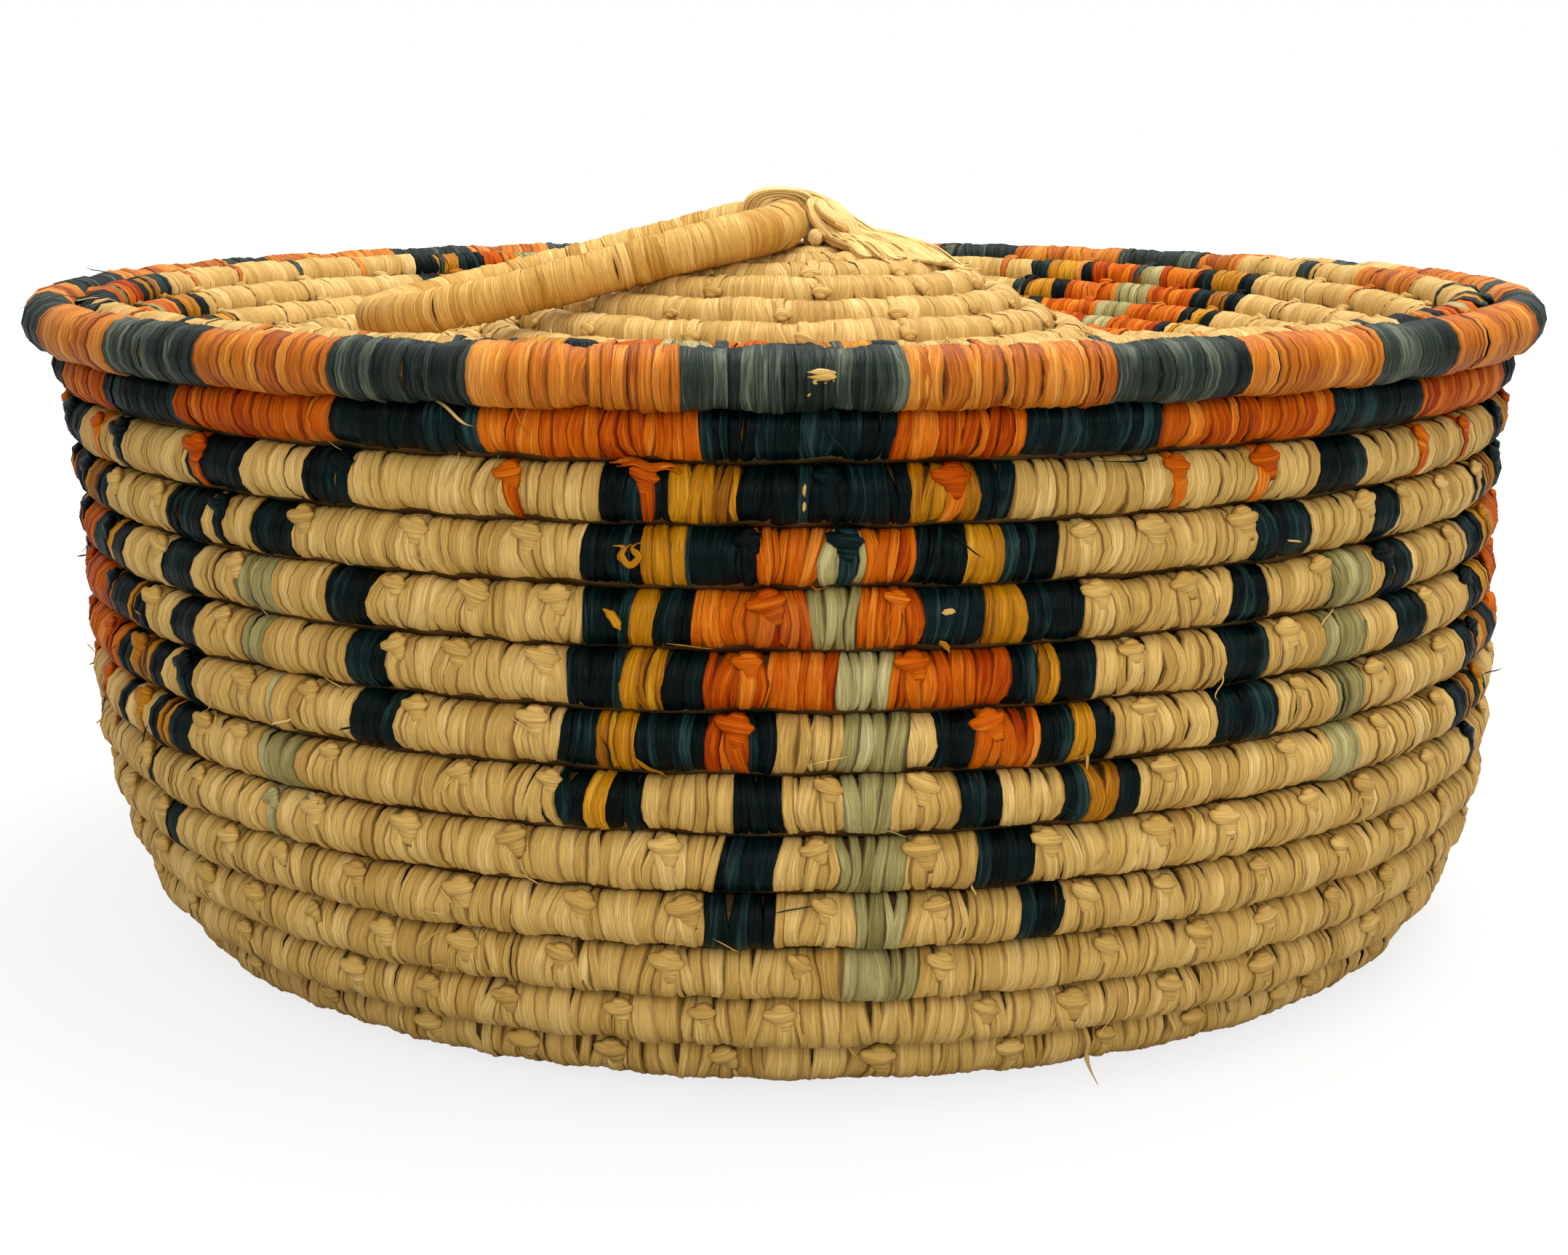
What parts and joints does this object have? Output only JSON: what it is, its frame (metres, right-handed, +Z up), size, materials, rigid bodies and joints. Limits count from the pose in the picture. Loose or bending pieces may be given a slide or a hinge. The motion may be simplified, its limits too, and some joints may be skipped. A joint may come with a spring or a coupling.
{
  "type": "coiled basket",
  "caption": "Round coiled raffia basket with a stepped pattern, a lift-off domed lid and a swinging loop handle on its crown.",
  "frame": {"origin": "on the surface that the basket stands on, below the middle of the rim", "axes": "+Z up, -Y the front that the picture shows, and the handle lies down towards -X"},
  "size_m": [0.2975, 0.2982, 0.1436],
  "materials": {
    "natural_raffia": "satin natural raffia wrap",
    "pale_raffia": "satin pale raffia strand",
    "orange_raffia": "satin orange dyed raffia",
    "black_raffia": "satin blue-black dyed raffia",
    "ochre_raffia": "satin ochre dyed raffia",
    "green_raffia": "satin sage green dyed raffia"
  },
  "bodies": {
    "base": {"floor_coil": "natural_raffia", "wall_coil": "natural_raffia", "base_rim_coil": "orange_raffia"},
    "lid": {"lid_crown_coil": "natural_raffia", "lid_valley_coil": "natural_raffia", "lid_brim_coil": "natural_raffia", "lid_rim_coil": "black_raffia", "handle_lashing_1": "pale_raffia", "handle_lashing_2": "pale_raffia", "handle_lashing_3": "pale_raffia", "handle_lashing_4": "pale_raffia", "handle_lashing_5": "pale_raffia", "crown_knot": "pale_raffia"},
    "handle": {"handle_loop": "natural_raffia"}
  },
  "joints": [
    {"name": "lid_lift", "type": "slide", "parent": "base", "child": "lid", "axis": [0, 0, 1], "range_m": [0, 0.15]},
    {"name": "handle_swing", "type": "hinge", "parent": "lid", "child": "handle", "pos_m": [0, 0, 0.13747], "axis": [0, 1, 0], "range_deg": [0, 180]}
  ]
}
